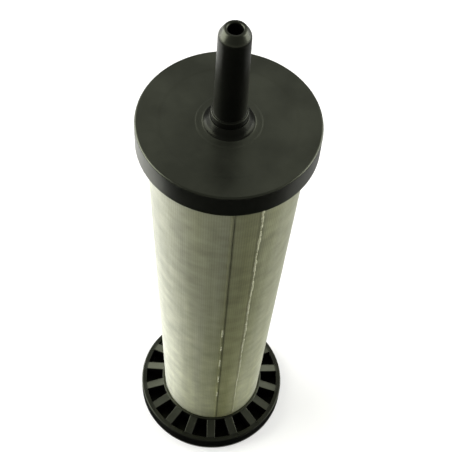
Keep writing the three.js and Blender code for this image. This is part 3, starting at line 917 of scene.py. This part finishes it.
plain_ring("top_band", "mesh_band", "cartridge", steel, 0.15, sleeve_top_radius + 0.15)
plain_ring("foot_gasket", "flat_foot_gasket", "cartridge", rubber, 0.2, SCREW_HOLE)
plain_ring("cap_gasket", "flat_cap_gasket", "cap", rubber, 0.2, 20.65)
plain_ring("ballast_gasket", "flat_ballast_gasket", "cartridge", rubber, 0.2, SCREW_HOLE)
seal_ring("cap_o_ring", "cap_seal_ring", "cap", 19.75)
seal_ring("hose_tail_o_ring", "tail_seal_ring", "cap", 4.08)

# %% [markdown]
# The ballast is a turned steel slug that keeps the cartridge down when its chamber is full of air.
# The back nut has six flats: a round blank is spun, and its outer points are pulled in to them.

# %% Washers, ballast and nut
plain_ring("nut_washer", "back_nut_washer", "cap", steel, 0.15, TAIL_HOLE)
plain_ring("foot_screw_washer", "screw_washer", "cartridge", steel, 0.1, SCREW_HOLE)
plain_ring("ballast_weight", "steel_ballast", "cartridge", steel, 1.0, 2.15)

NUT_CORNER = 7.5
nut_low, nut_high = low("back_nut").z, high("back_nut").z
nut_bm = section([
    (TAIL_HOLE, nut_low, 0.3), (NUT_CORNER, nut_low, 0), (NUT_CORNER, nut_high, 0),
    (TAIL_HOLE, nut_high, 0.3)])
spin_full(nut_bm, 48)


def square_up_to_hexagon(bm, corner_radius):
    """Pulls the outside of a round blank in to the six flats of a nut."""
    flat = corner_radius * math.cos(math.pi / 6)
    for vert in bm.verts:
        radius = math.hypot(vert.co.x, vert.co.y) / MM
        if radius > corner_radius - 0.5:
            turn = math.atan2(vert.co.y, vert.co.x) % (math.pi / 3) - math.pi / 6
            shrink = flat / math.cos(turn) / radius
            vert.co.x *= shrink
            vert.co.y *= shrink


square_up_to_hexagon(nut_bm, NUT_CORNER)
piece_from(nut_bm, "hexagon_back_nut", "cap", "back_nut", black_plastic)

# %% [markdown]
# The screw clamps foot, cage and ballast together from below. Its head has a cross recess and the
# engineering model already has the right shape, so that part stays and is only given its steel.

# %% The foot's screw
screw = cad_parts["foot_screw"]
screw.material_slots[0].material = steel
print("kept from the engineering model:", screw.name, "with", screw.material_slots[0].material.name)

# %% [markdown]
# ## Floor and light
# The air stone stands on a plain pale floor in a white tent of light, with soft boxes at both sides
# and behind. The floor glows faintly, like a light table, so that the shadow on it almost
# disappears, and more where the boxes no longer reach it, so that it meets the backdrop without a
# grey stripe.

# %% Floor


def stage_sheet(name, size, place, material, round_sheet=False):
    """A flat sheet that belongs to the studio and not to the object."""
    bm = bmesh.new()
    if round_sheet:
        bmesh.ops.create_circle(bm, cap_ends=True, segments=64, radius=0.5)
    else:
        bmesh.ops.create_grid(bm, x_segments=2, y_segments=2, size=0.5)
    bmesh.ops.scale(bm, vec=(size[0], size[1], 1), verts=bm.verts[:])
    bmesh.ops.translate(bm, vec=place, verts=bm.verts[:])
    mesh = bpy.data.meshes.new(name)
    bm.to_mesh(mesh)
    bm.free()
    mesh.materials.append(material)
    sheet = bpy.data.objects.new(name, mesh)
    bpy.context.scene.collection.objects.link(sheet)
    return sheet


def plain_paint(name, code, roughness, glow=0):
    """A plain paint with a faint unevenness, lit from within by glow."""
    material, tree = new_tree(name)
    place = add(tree, "ShaderNodeTexCoord").outputs["Object"]
    clouds = add(tree, "ShaderNodeTexNoise", {"Scale": 6, "Detail": 2}, {"Vector": place})
    gloss = add(
        tree, "ShaderNodeMapRange",
        {"To Min": roughness, "To Max": roughness + 0.1}, {"Value": clouds.outputs["Fac"]})
    shader = add(
        tree, "ShaderNodeBsdfPrincipled",
        {"Base Color": colour(code), "Specular IOR Level": 0.1, "Emission Color": colour("#ffffff"),
         "Emission Strength": glow},
        {"Roughness": gloss.outputs["Result"]})
    add(tree, "ShaderNodeOutputMaterial", {}, {"Surface": shader.outputs["BSDF"]})
    return material


floor_paint = plain_paint("matt_pale_floor", "#c2c2be", 0.8, glow=0.38)
floor_tree = floor_paint.node_tree
floor_place = add(floor_tree, "ShaderNodeTexCoord").outputs["Object"]
from_middle = add(floor_tree, "ShaderNodeVectorMath", {"operation": "LENGTH"}, {0: floor_place})
far_glow = add(
    floor_tree, "ShaderNodeMapRange",
    {"From Min": 0.7, "From Max": 2.2, "To Min": 0.38, "To Max": 0.85},
    {"Value": from_middle.outputs["Value"]})
floor_tree.links.new(
    far_glow.outputs["Result"], floor_tree.nodes["Principled BSDF"].inputs["Emission Strength"])
stage_sheet("floor", (8, 8), (0, 0, 0), floor_paint)

# %% [markdown]
# In a white tent a black object would look grey, so a studio lays dark cards around it, just
# outside the view. These cards show only in reflections. They keep the front of the skirt and the
# foot's wall black and the middle of the mesh dark, while both edges of the mesh shine.

# %% Reflected cards


def reflected_card(name, left, right, near, far, material, round_card=False):
    """A card that lies on the floor and shows in reflections only; its sides in millimetres."""
    place = Vector(((left + right) / 2, (near + far) / 2, 1)) * MM
    card = stage_sheet(name, ((right - left) * MM, (far - near) * MM), place, material, round_card)
    card.visible_camera = False
    card.visible_diffuse = False
    card.visible_shadow = False
    card.visible_transmission = False


reflected_card("dark_card", -500, 500, -700, -30, plain_paint("black_card", "#0a0a0a", 0.8))
reflected_card("foot_card", -33, 33, -33, 33, plain_paint("black_paper", "#0a0a0a", 0.8), round_card=True)
reflected_card("grey_card", 30, 500, -30, 500, plain_paint("grey_card", "#8a8a88", 0.8))

# %% [markdown]
# The wall of the tent stands behind the floor's far edge and closes the view, so the ground fades
# to plain white. It shows to the camera only. The soft boxes and the world do the lighting, and
# a wall that also lit the object would flatten it.

# %% Backdrop
tent_bm = bmesh.new()
bmesh.ops.create_cone(
    tent_bm, cap_ends=False, segments=64, radius1=3.9, radius2=3.9, depth=6)
tent_mesh = bpy.data.meshes.new("tent_wall")
tent_bm.to_mesh(tent_mesh)
tent_bm.free()
tent_mesh.materials.append(plain_paint("pale_cloth", "#808080", 0.9, glow=0.85))
tent = bpy.data.objects.new("tent_wall", tent_mesh)
bpy.context.scene.collection.objects.link(tent)
tent.visible_diffuse = False
tent.visible_glossy = False
tent.visible_transmission = False
tent.visible_shadow = False

# %% [markdown]
# Two large boxes at the sides draw the pale edges down the mesh, the left one stronger. Two small
# boxes high behind are what the sloping webs at the foot's sides reflect, and a weak one lifts the
# cap's face. The world is the even light of the tent.

# %% Lights


def soft_box(name, place, size, power):
    """A square soft box that faces the middle of the object."""
    data = bpy.data.lights.new(name, "AREA")
    data.size = size
    data.energy = power
    light = bpy.data.objects.new(name, data)
    bpy.context.scene.collection.objects.link(light)
    light.location = place
    aim = Vector((0, 0, 90 * MM)) - Vector(place)
    light.rotation_euler = aim.to_track_quat("-Z", "Y").to_euler()
    return light


soft_box("left_box", (-1.1, 0.17, 0.5), 1.3, 42)
soft_box("right_box", (1.1, 0.3, 0.5), 1.0, 20)
soft_box("top_box", (0, 0.9, 1.3), 0.9, 1.2)
soft_box("left_rear_box", (-0.65, 0.84, 1.08), 0.5, 3)
soft_box("right_rear_box", (0.65, 0.84, 1.08), 0.5, 3)

world = bpy.data.worlds.new("white_tent")
bpy.context.scene.world = world
world.use_nodes = True
world.node_tree.nodes["Background"].inputs["Color"].default_value = colour("#e9eaea")
world.node_tree.nodes["Background"].inputs["Strength"].default_value = 0.36

scene = bpy.context.scene
scene.view_settings.view_transform = "Standard"
